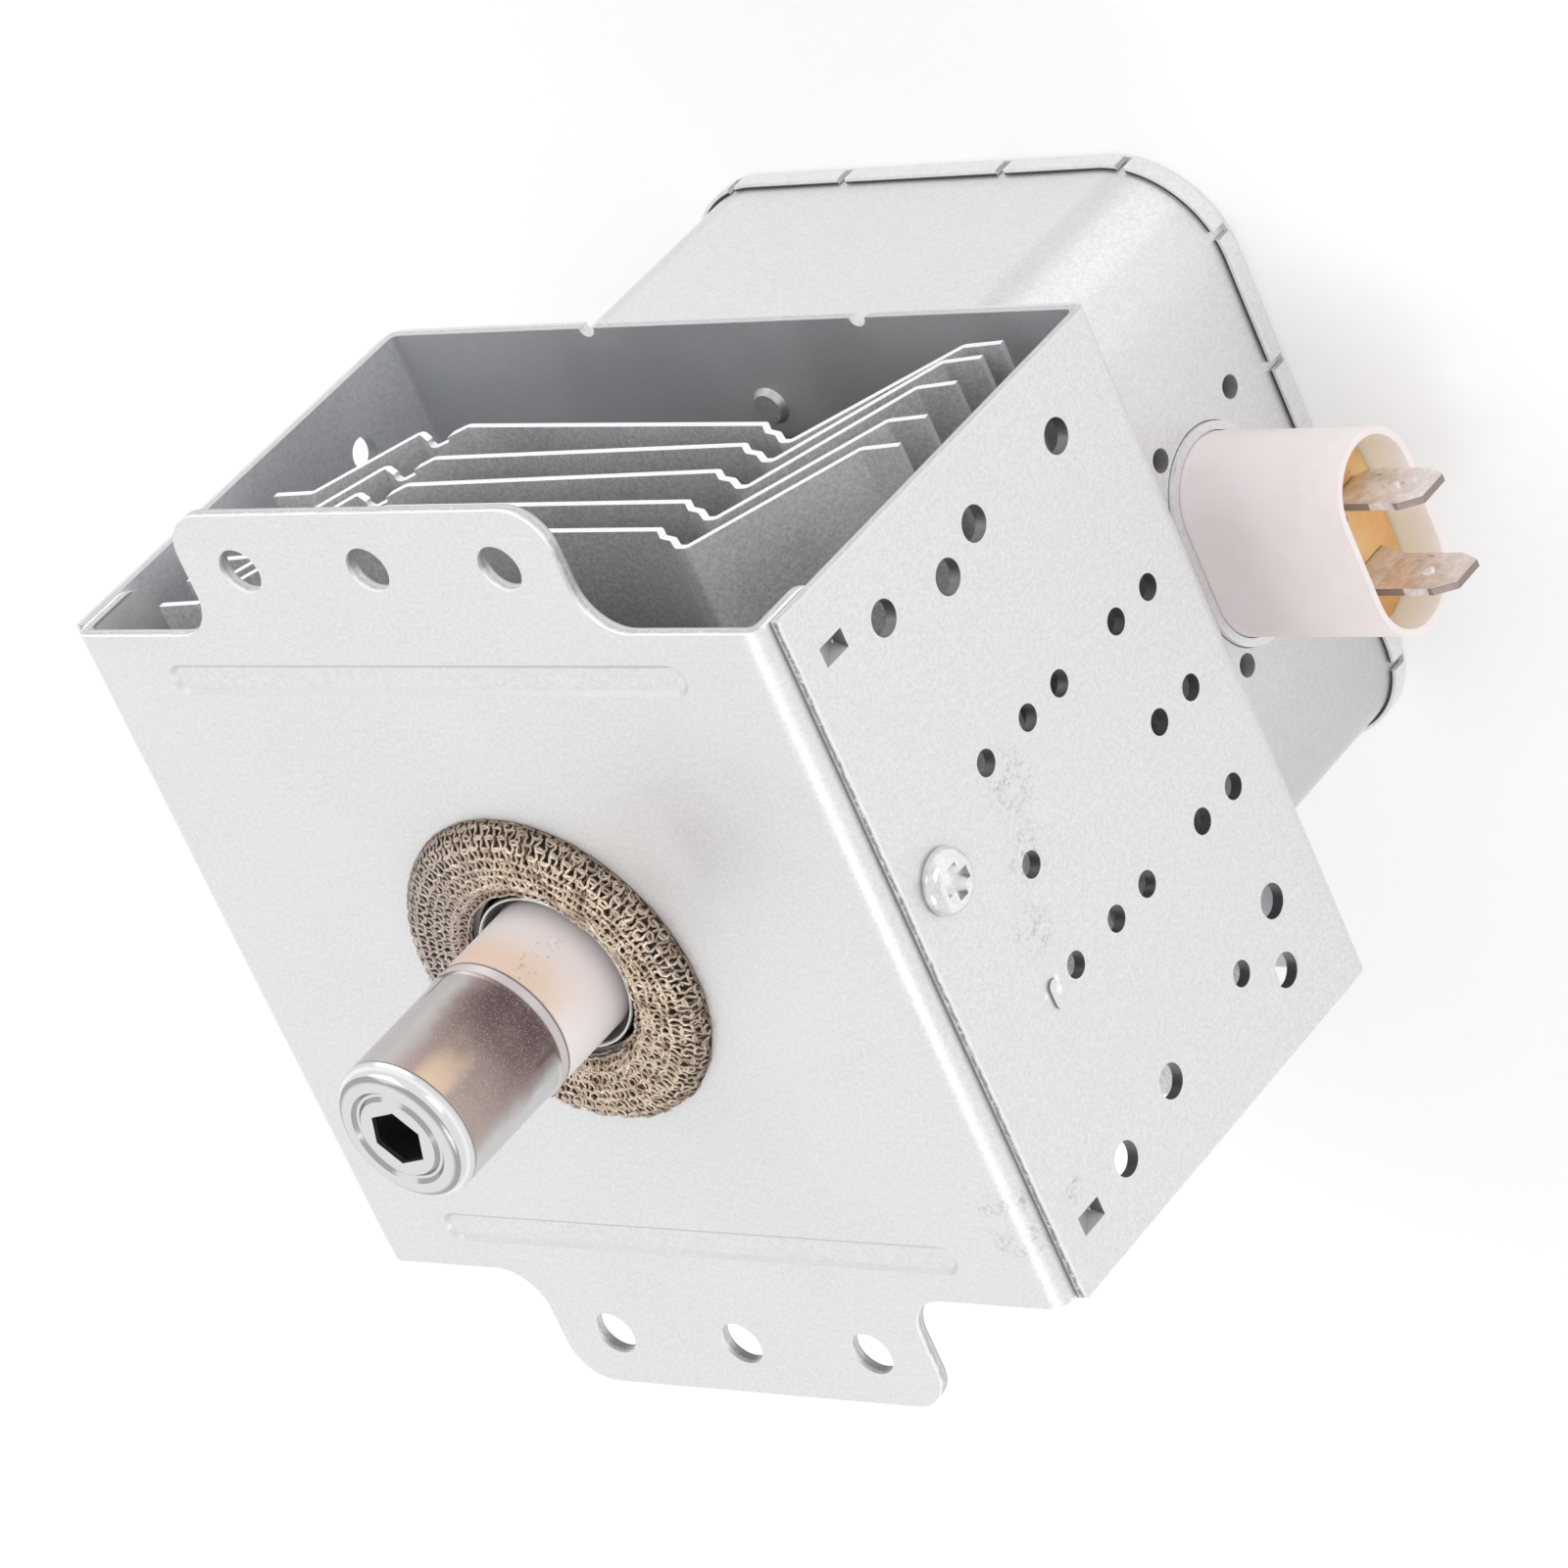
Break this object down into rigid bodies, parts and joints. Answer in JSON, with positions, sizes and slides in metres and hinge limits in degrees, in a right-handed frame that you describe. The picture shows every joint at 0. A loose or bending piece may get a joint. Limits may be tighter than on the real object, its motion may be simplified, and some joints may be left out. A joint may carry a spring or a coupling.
{
  "type": "microwave oven magnetron",
  "caption": "Magnetron tube with ring magnets and bent cooling fins in a folded steel yoke, a mounting plate with drilled ears, a capped antenna and a filter case with blade terminals.",
  "frame": {"origin": "on the antenna's axis in the front face of the mounting plate, at the centre of the ear holes", "axes": "+Z along the antenna, out of the mounting face; +Y from one ear to the other; +X towards the blade terminals"},
  "size_m": [0.1095, 0.1054, 0.1185],
  "materials": {
    "zinc_steel": "zinc-coated sheet steel, pale grey with a fine speckle and bright cut edges",
    "bright_zinc": "bright zinc-plated steel",
    "aluminium": "rolled aluminium sheet with bright cut edges",
    "gasket_wire": "knitted bronze-coloured wire",
    "dark_steel": "nickel-plated steel, darkened by brazing",
    "white_ceramic": "unglazed alumina, faintly pink",
    "tinted_steel": "steel with straw and purple heat tint",
    "pale_plastic": "pale moulded plastic",
    "orange_resin": "cast resin",
    "tinned_brass": "tinned brass, dull",
    "ferrite": "dark sintered ferrite",
    "iron": "plain iron",
    "copper": "bare copper",
    "tungsten": "tungsten and molybdenum"
  },
  "bodies": {
    "root": {"yoke_frame": "zinc_steel", "front_plate": "zinc_steel", "filter_case": "zinc_steel", "filter_lid": "zinc_steel", "yoke_screws": "bright_zinc", "case_rivets": "bright_zinc", "capacitor_plate": "bright_zinc", "gasket": "gasket_wire", "antenna_seal": "dark_steel", "stem_seal": "dark_steel", "antenna_ceramic": "white_ceramic", "stem_ceramic": "white_ceramic", "capacitor_element": "white_ceramic", "antenna_cap": "tinted_steel", "antenna_top_seal": "dark_steel", "capacitor_housing": "pale_plastic", "capacitor_inner_housing": "pale_plastic", "capacitor_fill": "orange_resin", "capacitor_inner_fill": "orange_resin", "terminal_upper": "tinned_brass", "terminal_lower": "tinned_brass", "front_magnet": "ferrite", "rear_magnet": "ferrite", "choke_core_1": "ferrite", "choke_core_2": "ferrite", "front_pole_piece": "iron", "rear_pole_piece": "iron", "anode_block": "copper", "exhaust_tube": "copper", "antenna_lead": "copper", "strap_ring_1": "copper", "strap_ring_2": "copper", "strap_ring_3": "copper", "strap_ring_4": "copper", "choke_coil_1": "copper", "choke_coil_2": "copper", "stem_terminal_1": "copper", "stem_terminal_2": "copper", "filament": "tungsten", "front_end_hat": "tungsten", "rear_end_hat": "tungsten", "centre_lead": "tungsten", "side_lead": "tungsten", "fin_1": "aluminium", "fin_2": "aluminium", "fin_3": "aluminium", "fin_4": "aluminium", "fin_5": "aluminium"}
  },
  "joints": []
}
